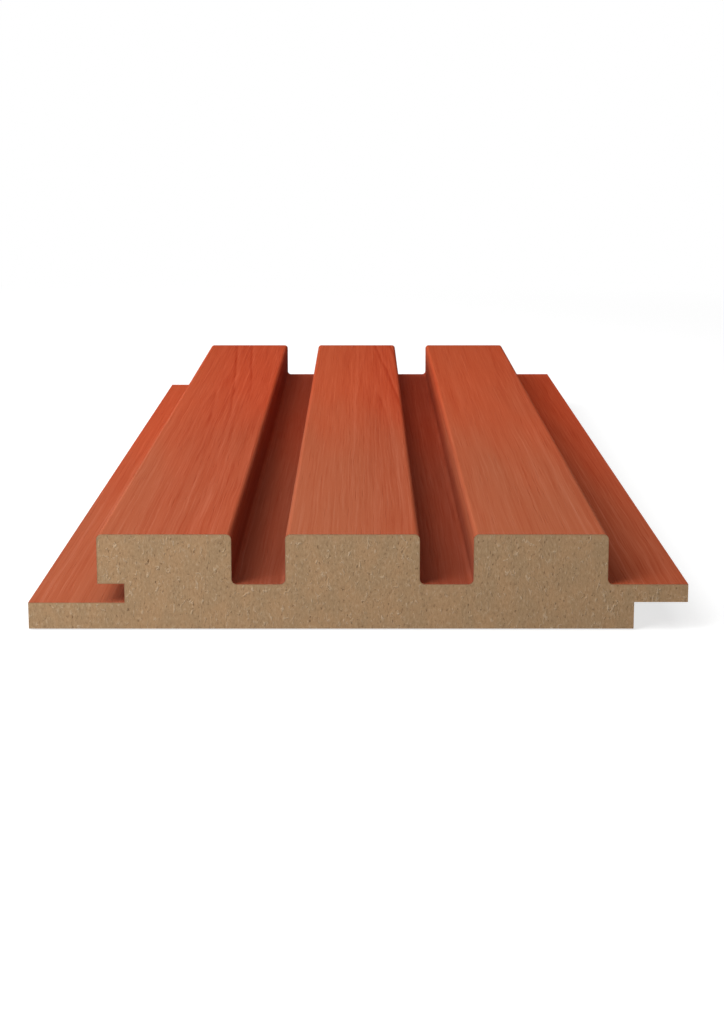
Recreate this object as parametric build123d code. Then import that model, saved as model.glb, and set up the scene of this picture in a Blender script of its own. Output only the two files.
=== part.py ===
from build123d import *
import os

# Slatted wall panel: a milled fibreboard core with a decor foil wrapped over its whole face side.
# Millimetres. The panel lies on its back with its face up: +Z points out of the wall, +Y runs along
# the ribs and +X points towards the tongue. The origin is the middle of the footprint, on the back.

# Ribs and the channels between them
PANEL_LENGTH = 300.0
RIB_COUNT = 3
RIB_WIDTH = 25.0
RIB_HEIGHT = 9.5
CHANNEL_WIDTH = 10.0
RIB_EDGE_RADIUS = 1.0
CHANNEL_ROOT_RADIUS = 1.0

# Edges that meet the next panels: lip and undercut groove on one side, tongue and rebate on the other
LIP_REACH = 13.0
LIP_THICKNESS = 5.0
GROOVE_DEPTH = 5.0
TONGUE_REACH = 15.0
TONGUE_THICKNESS = 3.4
REBATE_WIDTH = 10.0
JOINT_CLEARANCE = 0.1

# Decor foil, counted in every finished size above
FOIL_THICKNESS = 0.15

# Heights above the back. The next panel's lip runs under the tongue, the channel floors line up with
# the tongue's top, and the groove is as high as the tongue with clearance above and below it.
TONGUE_UNDERSIDE = LIP_THICKNESS + JOINT_CLEARANCE
CHANNEL_FLOOR = TONGUE_UNDERSIDE + TONGUE_THICKNESS
GROOVE_CEILING = CHANNEL_FLOOR + JOINT_CLEARANCE
PANEL_THICKNESS = CHANNEL_FLOOR + RIB_HEIGHT

# Places across the panel
RIB_PITCH = RIB_WIDTH + CHANNEL_WIDTH
RIBS_WIDTH = RIB_COUNT * RIB_PITCH - CHANNEL_WIDTH
PANEL_WIDTH = LIP_REACH + RIBS_WIDTH + TONGUE_REACH
LIP_END = -PANEL_WIDTH / 2
RIBS_LEFT = LIP_END + LIP_REACH
RIBS_RIGHT = RIBS_LEFT + RIBS_WIDTH
TONGUE_TIP = RIBS_RIGHT + TONGUE_REACH
GROOVE_WALL = RIBS_LEFT + GROOVE_DEPTH
REBATE_WALL = TONGUE_TIP - REBATE_WIDTH


def span(left, right, low, high):
    """Rectangle of the cross-section, between two heights above the back."""
    return Pos((left + right) / 2, (low + high) / 2) * Rectangle(right - left, high - low)


def panel_section(inset):
    """Cross-section of the panel with its whole face side set back by the inset.

    No inset gives the finished panel, and the foil's thickness gives the bare board beneath the foil.
    """
    face = PANEL_THICKNESS - inset
    floor = CHANNEL_FLOOR - inset
    lip_top = LIP_THICKNESS - inset
    root_radius = CHANNEL_ROOT_RADIUS + inset
    board = span(LIP_END, TONGUE_TIP, 0, face)

    # Edge cuts: the step above the lip, the undercut groove behind it and the rebate under the tongue
    board -= span(LIP_END, RIBS_LEFT + inset, lip_top, face)
    board -= span(LIP_END, GROOVE_WALL + inset, lip_top, GROOVE_CEILING + inset)
    board -= span(REBATE_WALL, TONGUE_TIP, 0, TONGUE_UNDERSIDE)

    # The step above the tongue, with a round root against the last rib
    step = span(RIBS_RIGHT - inset, TONGUE_TIP, floor, face)
    board -= fillet(step.vertices().group_by(Axis.Y)[0].sort_by(Axis.X)[0], root_radius)

    # A channel after each rib but the last, with both roots round
    for rib in range(1, RIB_COUNT):
        channel_right = RIBS_LEFT + rib * RIB_PITCH
        channel_left = channel_right - CHANNEL_WIDTH
        channel = span(channel_left - inset, channel_right + inset, floor, face)
        board -= fillet(channel.vertices().group_by(Axis.Y)[0], root_radius)

    # The long edges of the rib tops
    return fillet(board.vertices().group_by(Axis.Y)[-1], RIB_EDGE_RADIUS - inset)


def along_panel(section):
    """Solid with this cross-section over the panel's whole length."""
    return extrude(Plane.XZ * section, PANEL_LENGTH / 2, both=True)


mdf_core = along_panel(panel_section(FOIL_THICKNESS))
decor_foil = along_panel(panel_section(0)) - mdf_core

os.makedirs("parts", exist_ok=True)
for name, solid in {"mdf_core": mdf_core, "decor_foil": decor_foil}.items():
    export_step(solid, f"parts/{name}.step")
    print(name, "volume", round(solid.volume), "mm3")
print("panel", PANEL_WIDTH, "x", PANEL_LENGTH, "x", PANEL_THICKNESS, "mm")
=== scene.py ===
import math

import bpy
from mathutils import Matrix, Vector


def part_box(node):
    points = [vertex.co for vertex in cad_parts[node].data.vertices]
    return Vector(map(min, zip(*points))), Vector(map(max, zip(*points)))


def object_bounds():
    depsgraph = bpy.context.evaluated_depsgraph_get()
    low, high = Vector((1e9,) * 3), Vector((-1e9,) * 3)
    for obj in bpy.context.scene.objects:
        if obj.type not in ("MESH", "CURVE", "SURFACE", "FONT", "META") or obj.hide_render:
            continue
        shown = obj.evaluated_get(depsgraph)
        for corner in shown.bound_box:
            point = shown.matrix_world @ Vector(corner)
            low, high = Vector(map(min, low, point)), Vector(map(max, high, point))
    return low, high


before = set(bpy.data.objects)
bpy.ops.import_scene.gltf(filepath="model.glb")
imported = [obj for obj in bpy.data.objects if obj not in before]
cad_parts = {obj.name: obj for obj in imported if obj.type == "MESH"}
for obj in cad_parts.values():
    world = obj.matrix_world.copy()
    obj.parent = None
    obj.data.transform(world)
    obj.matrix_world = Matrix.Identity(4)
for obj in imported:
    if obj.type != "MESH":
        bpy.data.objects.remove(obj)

CAD_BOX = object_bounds()

# The print and the fibres are laid out in millimetres; the camera, the floor and the lamps are in metres
MM = 0.001

# The panel's section, as in the part's source
RIB_COUNT = 3
RIB_WIDTH = 25.0
RIB_HEIGHT = 9.5
CHANNEL_WIDTH = 10.0
LIP_REACH = 13.0
RIB_PITCH = RIB_WIDTH + CHANNEL_WIDTH
RIBS_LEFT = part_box("decor_foil")[0][0] / MM + LIP_REACH
RIBS_RIGHT = RIBS_LEFT + RIB_COUNT * RIB_PITCH - CHANNEL_WIDTH
RIB_TOP = CAD_BOX[1][2] / MM
CHANNEL_FLOOR = RIB_TOP - RIB_HEIGHT

# How the flat print was laid: this far below the channel floors the foil is on the lip, where it is shifted
LIP_BELOW_FLOORS = 0.05
LIP_PRINT_SHIFT = -2.0

# The printed figure: heart lines that lean and come again across the print, with arched rings over them
HEART_LINE = 18.6
HEART_LEAN = -0.01
FIGURE_REPEAT = 63.6
RING_WIDTH = 4.7
FIRST_RING = 2.0
RING_FEATHER = 0.5
RING_WANDER = 0.6
ARCH_SLOPE = 0.034
ARCH_ROUND = 0.6
ARCH_START = 0.0
ARCH_BEND = 30.0

# Where the figure is seen: it ends beside the heart line, and it is fainter on its left and at the near end
FIGURE_FULL = 7.5
FIGURE_END = 11.0
FIGURE_NEAR = -110.0
FIGURE_FAR = 100.0
FIGURE_SHARE_LEFT = 0.35
FIGURE_SIDE_BLUR = 0.2
FIGURE_SHARE_NEAR = 0.3

# Parts of one ring's width: pale early wood from its start, dark late wood up to its end
EARLY_FULL = 0.06
EARLY_FADE = 0.08
EARLY_END = 0.3
LATE_START = 0.76
LATE_FULL = 0.95
LATE_FADE = 0.96

# The print is ruddy on the right of each heart line, where its grain is stronger too
RUDDY_SHIFT = 3.0
GRAIN_LEAST = 0.75
GRAIN_GAIN = 0.4

# How far the grain line wanders and ripples, and how fast the print turns from red to tan
GRAIN_WANDER = 1.4
GRAIN_RIPPLE = 0.7
DRIFT_SLOPE = -0.0038
DRIFT_CLOUDS = 0.8

# Long pale threads show where their noise is this high
THREAD_START = 0.66
THREAD_FULL = 0.74

# Shares of the dark and the light grain tone in each mark of the print
LATE_WOOD_DARK = 0.46
BROAD_STREAK_DARK = 0.22
FINE_STREAK_DARK = 0.44
PORE_DARK = 0.1
EARLY_WOOD_LIGHT = 0.28
BROAD_STREAK_LIGHT = 0.2
FINE_STREAK_LIGHT = 0.5
RAY_LIGHT = 0.13
THREAD_LIGHT = 0.35

# Painted shade down in the channels, darkening the foil's colour: full at a height above the floors, and
# less at the near end
CHANNEL_SHADE_HEIGHT = 3.0
CHANNEL_SHADE_NEAR = -50.0
CHANNEL_SHADE_FAR = 150.0
CHANNEL_SHADE_SHARE_NEAR = 0.68

# Painted shade on the round rib edges, darkening the foil's colour, as depths below the rib tops
EDGE_START = 0.05
EDGE_FULL = 0.4
EDGE_FADE = 0.9
EDGE_END = 1.5

# The foil's surface
FOIL_ROUGHNESS = 0.77
STREAK_ROUGHNESS = 0.16
PORE_ROUGHNESS = 0.1
FOIL_SPECULAR = 0.02
STREAK_RELIEF = 0.012
PORE_RELIEF = 0.03
CUT_END_FACING = 0.7

# The fibreboard: how far fibres are drawn out upwards and pushed about, and how wide apart specks lie
FIBRE_STRETCH = 2.0
FIBRE_PUSH = 0.7
CURL_SIZE = 1.6
SPECK_SPACING = 1.1
SPECK_RISE = 0.8

# How far the matt and the blotches reach from the middle of their noise
MATT_REACH = 0.3
BLOTCH_REACH = 0.15

# The step from a line's own noise to the one that cuts it into stretches
SECOND_NOISE = 9

# Shares of the dark and the light colour in each mark of the fibreboard
MATT_DARK = 0.54
FLECK_DARK = 0.55
SPECK_DARK = 0.45
MATT_LIGHT = 0.66
STRAND_LIGHT = 0.6

# The fibreboard's surface
MDF_ROUGHNESS = 0.8
MATT_ROUGHNESS = 0.2
MDF_SPECULAR = 0.1
MATT_RELIEF = 0.08
MARK_RELIEF = 0.05

# Colours, linear
FOIL_RED = (0.473, 0.0780, 0.0272)
FOIL_TAN = (0.368, 0.0965, 0.0425)
FOIL_EDGE = (0.44, 0.26, 0.145)
MDF_MID = (0.570, 0.349, 0.186)
MDF_GREY = (0.520, 0.333, 0.183)
MDF_DARK = (0.190, 0.100, 0.046)
MDF_LIGHT = (0.76, 0.57, 0.38)

# Tones, which a colour is multiplied by
GRAIN_DARK = (0.73, 0.42, 0.25)
GRAIN_LIGHT = (1.21, 1.55, 1.90)
RUDDY_TONE = (1.0, 0.81, 0.77)
# The next two tones are painted shade, for the channels and for the round rib edges
CHANNEL_SHADE_TONE = (0.64, 0.62, 0.76)
EDGE_SHADE_TONE = (0.86, 0.80, 0.80)

# The photograph's frame and the camera worked out from it, in metres and degrees
FRAME_HEIGHT_PX = 1024
FOCAL_LENGTH_PX = 2073.6
SENSOR_MM = 36.0
CAMERA_PLACE = (0.00076, -0.5257, 0.09717)
CAMERA_PITCH_DOWN = 11.282
CLIP_START = 0.01

# The floor, in metres: its reach, its depth below the panel's back and where its shading fades to white
FLOOR_REACH = 4.0
FLOOR_DROP = 0.0003
FADE_START = 0.3
FADE_END = 0.6

# The floor's light: its grey and its glow near the panel, and what it sends back
FLOOR_GREY = 0.4
FLOOR_GLOW = 0.74
FLOOR_BOUNCE = 0.25

# Noise lies around this value
NOISE_MIDDLE = 0.5

# The Mix node's sockets for colours go by number, because their names come again for each data type
MIX_SHARE = 0
MIX_FIRST = 6
MIX_SECOND = 7
MIX_RESULT = 2


def opaque(colour):
    """The colour as a socket takes it."""
    return (*colour, 1.0)


def grey(value):
    """A grey from black at 0 to white at 1, as a socket takes it."""
    return opaque((value, value, value))


class Field:
    """A node's output that is worked with as a number: each operation adds one node."""

    def __init__(self, graph, socket):
        self.graph = graph
        self.socket = socket

    def math(self, operation, *others):
        node = self.graph.tree.nodes.new("ShaderNodeMath")
        node.operation = operation
        for socket, value in zip(node.inputs, (self, *others)):
            self.graph.put(socket, value)
        return Field(self.graph, node.outputs[0])

    def __add__(self, other):
        return self.math("ADD", other)

    def __sub__(self, other):
        return self.math("SUBTRACT", other)

    def __mul__(self, other):
        return self.math("MULTIPLY", other)

    def __truediv__(self, other):
        return self.math("DIVIDE", other)

    def ramp(self, low, high, at_low=0.0):
        """1 at high, the given value at low and smooth between; low may be the higher number."""
        inputs = {"Value": self, "From Min": low, "From Max": high, "To Min": at_low}
        node = self.graph.node("ShaderNodeMapRange", inputs, interpolation_type="SMOOTHSTEP")
        return Field(self.graph, node.outputs[0])

    def lows(self, reach=0.25):
        """0 from the noise's middle upwards, 1 from this far below it downwards."""
        return self.ramp(NOISE_MIDDLE, NOISE_MIDDLE - reach)

    def highs(self, reach=0.25):
        """0 from the noise's middle downwards, 1 from this far above it upwards."""
        return self.ramp(NOISE_MIDDLE, NOISE_MIDDLE + reach)


class Graph:
    """A material's node tree, with short calls that each add a node or two."""

    def __init__(self, name):
        self.material = bpy.data.materials.new(name)
        self.material.use_nodes = True
        self.tree = self.material.node_tree
        self.shader = self.tree.nodes["Principled BSDF"]

    def put(self, socket, value):
        """Link a field to the socket, or set a plain value on it."""
        if isinstance(value, Field):
            self.tree.links.new(value.socket, socket)
        else:
            socket.default_value = value

    def node(self, kind, inputs, **settings):
        """New node with its settings made and its inputs filled, by their names or numbers."""
        node = self.tree.nodes.new(kind)
        for name, value in settings.items():
            setattr(node, name, value)
        for name, value in inputs.items():
            self.put(node.inputs[name], value)
        return node

    def coordinate(self, kind):
        """One of the texture coordinates, such as the place in the part's frame."""
        return Field(self, self.node("ShaderNodeTexCoord", {}).outputs[kind])

    def split(self, vector):
        """The vector's X, Y and Z."""
        node = self.node("ShaderNodeSeparateXYZ", {"Vector": vector})
        return [Field(self, output) for output in node.outputs]

    def place(self):
        """The point's X, Y and Z in the part's frame, in millimetres."""
        return [length / MM for length in self.split(self.coordinate("Object"))]

    def facing(self):
        """How far the surface faces along X, Y and Z of the part's frame, either way: 0 to 1."""
        return [share.math("ABSOLUTE") for share in self.split(self.coordinate("Normal"))]

    def vector(self, x, y, z):
        return Field(self, self.node("ShaderNodeCombineXYZ", {"X": x, "Y": y, "Z": z}).outputs[0])

    def noise(self, vector, detail=2.0, roughness=0.5):
        """Smooth noise with spots about one unit of the vector across."""
        inputs = {"Vector": vector, "Scale": 1.0, "Detail": detail, "Roughness": roughness}
        return Field(self, self.node("ShaderNodeTexNoise", inputs).outputs[0])

    def spots(self, vector, edge, core, least, most):
        """Scattered spots, one in each unit of the vector: 0 from the edge outwards, 1 in the core.

        Each spot has its own number. It is left out below the least and whole above the most.
        """
        cells = self.node("ShaderNodeTexVoronoi", {"Vector": vector, "Scale": 1.0})
        distance = Field(self, cells.outputs["Distance"])
        numbers = self.node("ShaderNodeSeparateColor", {"Color": Field(self, cells.outputs["Color"])})
        return distance.ramp(edge, core) * Field(self, numbers.outputs[0]).ramp(least, most)

    def join(self, kind, share, first, second):
        """Two colours joined by a Mix node of this kind, as far as the share says."""
        inputs = {MIX_SHARE: share}
        for socket, value in ((MIX_FIRST, first), (MIX_SECOND, second)):
            inputs[socket] = value if isinstance(value, Field) else opaque(value)
        node = self.node("ShaderNodeMix", inputs, data_type="RGBA", blend_type=kind)
        return Field(self, node.outputs[MIX_RESULT])

    def mix(self, share, first, second):
        """The first colour, turning to the second as the share goes from 0 to 1."""
        return self.join("MIX", share, first, second)

    def tone(self, share, colour, tone):
        """The colour, multiplied by the tone as the share goes from 0 to 1."""
        return self.join("MULTIPLY", share, colour, tone)

    def surface(self, colour, roughness, specular, relief):
        """Fill in the material's own shader; the relief is in millimetres."""
        bump = self.node("ShaderNodeBump", {"Height": relief, "Distance": MM, "Strength": 1.0})
        inputs = {"Base Color": colour, "Roughness": roughness, "Specular IOR Level": specular}
        inputs["Normal"] = Field(self, bump.outputs[0])
        for name, value in inputs.items():
            self.put(self.shader.inputs[name], value)


def printed_place(graph):
    """Where a point of the foil lay on the flat print: millimetres across it and along it.

    The foil climbs each rib's left side and comes down its right side, so the way across the print is
    the way across the panel plus the heights that were climbed on it.
    """
    x, y, z = graph.place()
    across = x - RIBS_LEFT
    rib = (across / RIB_PITCH).math("FLOOR")
    rise = z - CHANNEL_FLOOR
    past_middle = (across - rib * RIB_PITCH).math("GREATER_THAN", RIB_WIDTH / 2)
    climbed = rise + past_middle * (2 * RIB_HEIGHT) - past_middle * rise * 2
    over_ribs = across + rib * (2 * RIB_HEIGHT) + climbed
    on_lip = rise.math("LESS_THAN", -LIP_BELOW_FLOORS)
    return over_ribs + on_lip * (across - over_ribs + LIP_PRINT_SHIFT), y


def channel_shade_share(graph):
    """Share of painted shade: 0 on the rib tops and outside the outer ribs, up to 1 down in the channels.
    """
    x, y, z = graph.place()
    past_first_rib = x.math("GREATER_THAN", RIBS_LEFT + RIB_WIDTH / 2)
    before_last_rib = x.math("LESS_THAN", RIBS_RIGHT - RIB_WIDTH / 2)
    deep = z.ramp(RIB_TOP, CHANNEL_FLOOR + CHANNEL_SHADE_HEIGHT)
    share = y.ramp(CHANNEL_SHADE_NEAR, CHANNEL_SHADE_FAR, at_low=CHANNEL_SHADE_SHARE_NEAR)
    return deep * past_first_rib * before_last_rib * share


def edge_shade_share(graph):
    """1 on the round long edges of the ribs, where shade is painted into the foil's colour, 0 elsewhere."""
    _, _, z = graph.place()
    below_top = z.ramp(RIB_TOP - EDGE_START, RIB_TOP - EDGE_FULL)
    above_wall = z.ramp(RIB_TOP - EDGE_END, RIB_TOP - EDGE_FADE)
    return below_top * above_wall


def grain_place(graph, across, along, width, length, seed):
    """Where a pattern of marks about this wide and this long is read; the seed picks one of its layers."""
    return graph.vector(across / width, along / length, seed)


def streaks(graph, across, along, width, length, seed, detail=2.0, roughness=0.5):
    """Noise drawn out along the grain, in streaks about this wide and this long."""
    return graph.noise(grain_place(graph, across, along, width, length, seed), detail, roughness)


def growth_rings(graph, across, along):
    """Shares of dark late wood, pale early wood and ruddy ground.

    The rings are arches over the heart lines, open towards the near end. The ruddy ground lies to the
    right of each heart line.
    """
    offset = across - HEART_LINE - along * HEART_LEAN
    turn = math.tau / FIGURE_REPEAT
    ruddy = ((offset + RUDDY_SHIFT) * turn).math("SINE").ramp(-1.0, 1.0)

    # The rings are counted outwards from the heart line
    beside = offset.math("PINGPONG", FIGURE_REPEAT / 2)
    round_beside = (beside * beside + ARCH_ROUND ** 2).math("SQRT")
    arch = along.math("SMOOTH_MAX", ARCH_START, ARCH_BEND) * ARCH_SLOPE
    feather = streaks(graph, across, along, width=0.5, length=30, seed=3.5, detail=3) - NOISE_MIDDLE
    wander = streaks(graph, across, along, width=9, length=100, seed=7.5) - NOISE_MIDDLE
    way_out = round_beside + arch + feather * RING_FEATHER + wander * RING_WANDER
    rings = (way_out - FIRST_RING) / RING_WIDTH
    phase = rings - rings.math("FLOOR")

    # The figure fades out sideways, to the left and towards the near end
    seen = beside.ramp(FIGURE_END, FIGURE_FULL)
    side = (offset * turn).math("SINE")
    seen = seen * side.ramp(-FIGURE_SIDE_BLUR, FIGURE_SIDE_BLUR, at_low=FIGURE_SHARE_LEFT)
    seen = seen * along.ramp(FIGURE_NEAR, FIGURE_FAR, at_low=FIGURE_SHARE_NEAR)
    late = phase.ramp(LATE_START, LATE_FULL) * phase.ramp(1.0, LATE_FADE) * seen
    early = phase.ramp(0.0, EARLY_FULL) * phase.ramp(EARLY_END, EARLY_FADE) * seen
    return late, early, ruddy


def decor_foil_material():
    """Red cherry print: arched figure on the first two ribs, straight grain beside it, pores and rays;
    shade is painted into it down in the channels and over the round rib edges.
    """
    graph = Graph("decor_foil")
    across, along = printed_place(graph)

    # The grain line wanders slowly and ripples a little
    wander = streaks(graph, across, along, width=30, length=110, seed=1.5) - NOISE_MIDDLE
    ripple = streaks(graph, across, along, width=4, length=24, seed=2.5) - NOISE_MIDDLE
    across = across + wander * GRAIN_WANDER + ripple * GRAIN_RIPPLE
    late, early, ruddy = growth_rings(graph, across, along)

    # Fibre streaks at two widths, long pale threads, pores as thin dark dashes, rays as small pale flecks
    broad = streaks(graph, across, along, width=1.7, length=100, seed=11.5)
    fine = streaks(graph, across, along, width=0.29, length=36, seed=13.5, roughness=0.65)
    threads = streaks(graph, across, along, width=0.7, length=350, seed=15.5, detail=1)
    threads = threads.ramp(THREAD_START, THREAD_FULL)
    pore_place = grain_place(graph, across, along, width=0.45, length=20, seed=0.5)
    pores = graph.spots(pore_place, edge=0.34, core=0.12, least=0.5, most=0.7)
    ray_place = grain_place(graph, across, along, width=0.9, length=5, seed=17.5)
    rays = graph.spots(ray_place, edge=0.32, core=0.12, least=0.62, most=0.8)

    # The print turns slowly from red at the far end to tan at the near end
    clouds = streaks(graph, across, along, width=14, length=120, seed=19.5)
    drift = along * DRIFT_SLOPE + clouds * DRIFT_CLOUDS
    ground = graph.mix(drift.ramp(0.0, 1.0), FOIL_RED, FOIL_TAN)
    ground = graph.tone(ruddy, ground, RUDDY_TONE)

    # The grain darkens and lightens its ground
    dark = late * LATE_WOOD_DARK + pores * PORE_DARK
    dark = dark + broad.lows() * BROAD_STREAK_DARK + fine.lows() * FINE_STREAK_DARK
    light = early * EARLY_WOOD_LIGHT + rays * RAY_LIGHT + threads * THREAD_LIGHT
    light = light + broad.highs() * BROAD_STREAK_LIGHT + fine.highs() * FINE_STREAK_LIGHT
    strength = ruddy * GRAIN_GAIN + GRAIN_LEAST
    colour = graph.tone(dark * strength, ground, GRAIN_DARK)
    colour = graph.tone(light * strength, colour, GRAIN_LIGHT)

    # Painted shade: the colour is darkened down in the channels and over the round rib edges
    colour = graph.tone(channel_shade_share(graph), colour, CHANNEL_SHADE_TONE)
    colour = graph.tone(edge_shade_share(graph), colour, EDGE_SHADE_TONE)

    # The film itself is pale, which its cut ends show
    _, on_end, _ = graph.facing()
    colour = graph.mix(on_end.math("GREATER_THAN", CUT_END_FACING), colour, FOIL_EDGE)
    roughness = fine * STREAK_ROUGHNESS + pores * PORE_ROUGHNESS + FOIL_ROUGHNESS
    graph.surface(colour, roughness, FOIL_SPECULAR, fine * STREAK_RELIEF - pores * PORE_RELIEF)
    return graph.material


def fibre_noise(graph, place, size, seed, detail=2.0, roughness=0.5):
    """Noise with spots about this size in the fibres' own coordinates."""
    x, y, upright = [length / size for length in place]
    return graph.noise(graph.vector(x, y, upright + seed), detail, roughness)


def fibre_lines(graph, place, size, seed, thin, least, most):
    """Short bent lines: where one noise crosses its middle and another is high."""
    line = fibre_noise(graph, place, size, seed, detail=1) - NOISE_MIDDLE
    stretch = fibre_noise(graph, place, size, seed + SECOND_NOISE, detail=1)
    return line.math("ABSOLUTE").ramp(thin, 0.0) * stretch.ramp(least, most)


def mdf_material():
    """Raw fibreboard: a tan ground of matted fibres, pale curled strands, dark flecks and bark specks."""
    graph = Graph("mdf")
    x, y, z = graph.place()
    upright = z / FIBRE_STRETCH

    # Fibres curl: the place that the patterns are read at is pushed about
    push_x = fibre_noise(graph, (x, y, upright), CURL_SIZE, seed=31) - NOISE_MIDDLE
    push_y = fibre_noise(graph, (x, y, upright), CURL_SIZE, seed=47) - NOISE_MIDDLE
    x = x + push_x * FIBRE_PUSH
    y = y + push_y * FIBRE_PUSH
    place = (x, y, upright)

    blotches = fibre_noise(graph, place, size=3.2, seed=3)
    matt = fibre_noise(graph, place, size=0.4, seed=0, detail=3, roughness=0.7)
    strands = fibre_lines(graph, place, size=0.78, seed=11, thin=0.055, least=0.55, most=0.64)
    flecks = fibre_lines(graph, place, size=0.5, seed=23, thin=0.09, least=0.64, most=0.7)
    speck_place = graph.vector(x / SPECK_SPACING, y / SPECK_SPACING, upright / SPECK_RISE)
    specks = graph.spots(speck_place, edge=0.2, core=0.06, least=0.7, most=0.8)

    greyer = blotches.ramp(NOISE_MIDDLE - BLOTCH_REACH, NOISE_MIDDLE + BLOTCH_REACH)
    ground = graph.mix(greyer, MDF_MID, MDF_GREY)
    dark = matt.lows(MATT_REACH) * MATT_DARK + flecks * FLECK_DARK + specks * SPECK_DARK
    light = matt.highs(MATT_REACH) * MATT_LIGHT + strands * STRAND_LIGHT
    colour = graph.mix(dark, ground, MDF_DARK)
    colour = graph.mix(light, colour, MDF_LIGHT)
    relief = matt * MATT_RELIEF + (strands - flecks - specks) * MARK_RELIEF
    graph.surface(colour, matt * MATT_ROUGHNESS + MDF_ROUGHNESS, MDF_SPECULAR, relief)
    return graph.material


def dress(node, material):
    """Give a CAD node its material, on its object and not on its mesh."""
    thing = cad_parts[node]
    for material_slot in thing.material_slots:
        material_slot.link = "OBJECT"
        material_slot.material = material


def seen_directly(tree):
    """1 where a ray from the camera, a reflection or glass meets the surface, 0 where other light does."""
    rays = tree.nodes.new("ShaderNodeLightPath")
    share = rays.outputs["Is Camera Ray"]
    for kind in ("Is Glossy Ray", "Is Transmission Ray"):
        either = tree.nodes.new("ShaderNodeMath")
        either.operation = "MAXIMUM"
        tree.links.new(share, either.inputs[0])
        tree.links.new(rays.outputs[kind], either.inputs[1])
        share = either.outputs[0]
    return share


def floor_material():
    """Shows white with the panel's soft shadow on it, and sends back little light itself.

    Near the panel it is a grey with a glow, which the lamps bring up to white outside the shadow.
    """
    graph = Graph("floor")
    graph.tree.nodes.remove(graph.shader)

    def shader(kind, inputs):
        return Field(graph, graph.node(kind, inputs).outputs[0])

    lit = shader("ShaderNodeBsdfDiffuse", {"Color": grey(FLOOR_GREY)})
    glow = shader("ShaderNodeEmission", {"Strength": FLOOR_GLOW})
    near = shader("ShaderNodeAddShader", {0: lit, 1: glow})
    white = shader("ShaderNodeEmission", {"Strength": 1.0})
    place = graph.coordinate("Object")
    distance = graph.node("ShaderNodeVectorMath", {"Vector": place}, operation="LENGTH").outputs["Value"]
    away = Field(graph, distance).ramp(FADE_START, FADE_END)
    shown = shader("ShaderNodeMixShader", {0: away, 1: near, 2: white})
    bounce = shader("ShaderNodeBsdfDiffuse", {"Color": grey(FLOOR_BOUNCE)})
    direct = Field(graph, seen_directly(graph.tree))
    surface = shader("ShaderNodeMixShader", {0: direct, 1: bounce, 2: shown})
    graph.put(graph.tree.nodes["Material Output"].inputs["Surface"], surface)
    return graph.material


def make_floor():
    """One large square just below the panel's back."""
    mesh = bpy.data.meshes.new("floor")
    square = ((-1, -1), (1, -1), (1, 1), (-1, 1))
    corners = [(x * FLOOR_REACH, y * FLOOR_REACH, -FLOOR_DROP) for x, y in square]
    mesh.from_pydata(corners, [], [(0, 1, 2, 3)])
    mesh.materials.append(floor_material())
    floor = bpy.data.objects.new("floor", mesh)
    bpy.context.scene.collection.objects.link(floor)


def make_world():
    """White all round for the camera and reflections; it lights nothing itself."""
    world = bpy.data.worlds.new("studio")
    bpy.context.scene.world = world
    world.use_nodes = True
    tree = world.node_tree
    background = tree.nodes["Background"]
    background.inputs["Color"].default_value = grey(1.0)
    tree.links.new(seen_directly(tree), background.inputs["Strength"])


def make_lamp(name, azimuth, elevation, distance, size, watts):
    """Square soft box aimed at the origin; azimuth turns from the near end towards the lip."""
    lamp = bpy.data.lights.new(name, "AREA")
    lamp.shape = "SQUARE"
    lamp.size = size
    lamp.energy = watts
    turn = math.radians(azimuth)
    lift = math.radians(elevation)
    flat = math.cos(lift)
    place = Vector((-math.sin(turn) * flat, -math.cos(turn) * flat, math.sin(lift))) * distance
    thing = bpy.data.objects.new(name, lamp)
    thing.location = place
    thing.rotation_euler = (-place).to_track_quat("-Z", "Y").to_euler()
    bpy.context.scene.collection.objects.link(thing)


def make_camera():
    """The photograph's camera."""
    camera = bpy.data.cameras.new("camera")
    camera.sensor_width = SENSOR_MM
    camera.lens = FOCAL_LENGTH_PX * SENSOR_MM / FRAME_HEIGHT_PX
    camera.clip_start = CLIP_START
    thing = bpy.data.objects.new("camera", camera)
    thing.location = CAMERA_PLACE
    thing.rotation_euler = (math.radians(90 - CAMERA_PITCH_DOWN), 0, 0)
    bpy.context.scene.collection.objects.link(thing)
    bpy.context.scene.camera = thing


dress("decor_foil", decor_foil_material())
dress("mdf_core", mdf_material())
make_floor()
make_world()
make_lamp("top", azimuth=0, elevation=90, distance=0.8, size=0.8, watts=2.78)
make_lamp("back", azimuth=130, elevation=20, distance=0.75, size=0.6, watts=4.3)
make_lamp("side", azimuth=44, elevation=45, distance=0.6, size=0.35, watts=2.1)
make_lamp("front", azimuth=32, elevation=20, distance=0.6, size=0.24, watts=0.95)
make_lamp("fill", azimuth=-90, elevation=4, distance=1.2, size=0.3, watts=2.3)
make_camera()
bpy.context.scene.view_settings.view_transform = "Standard"
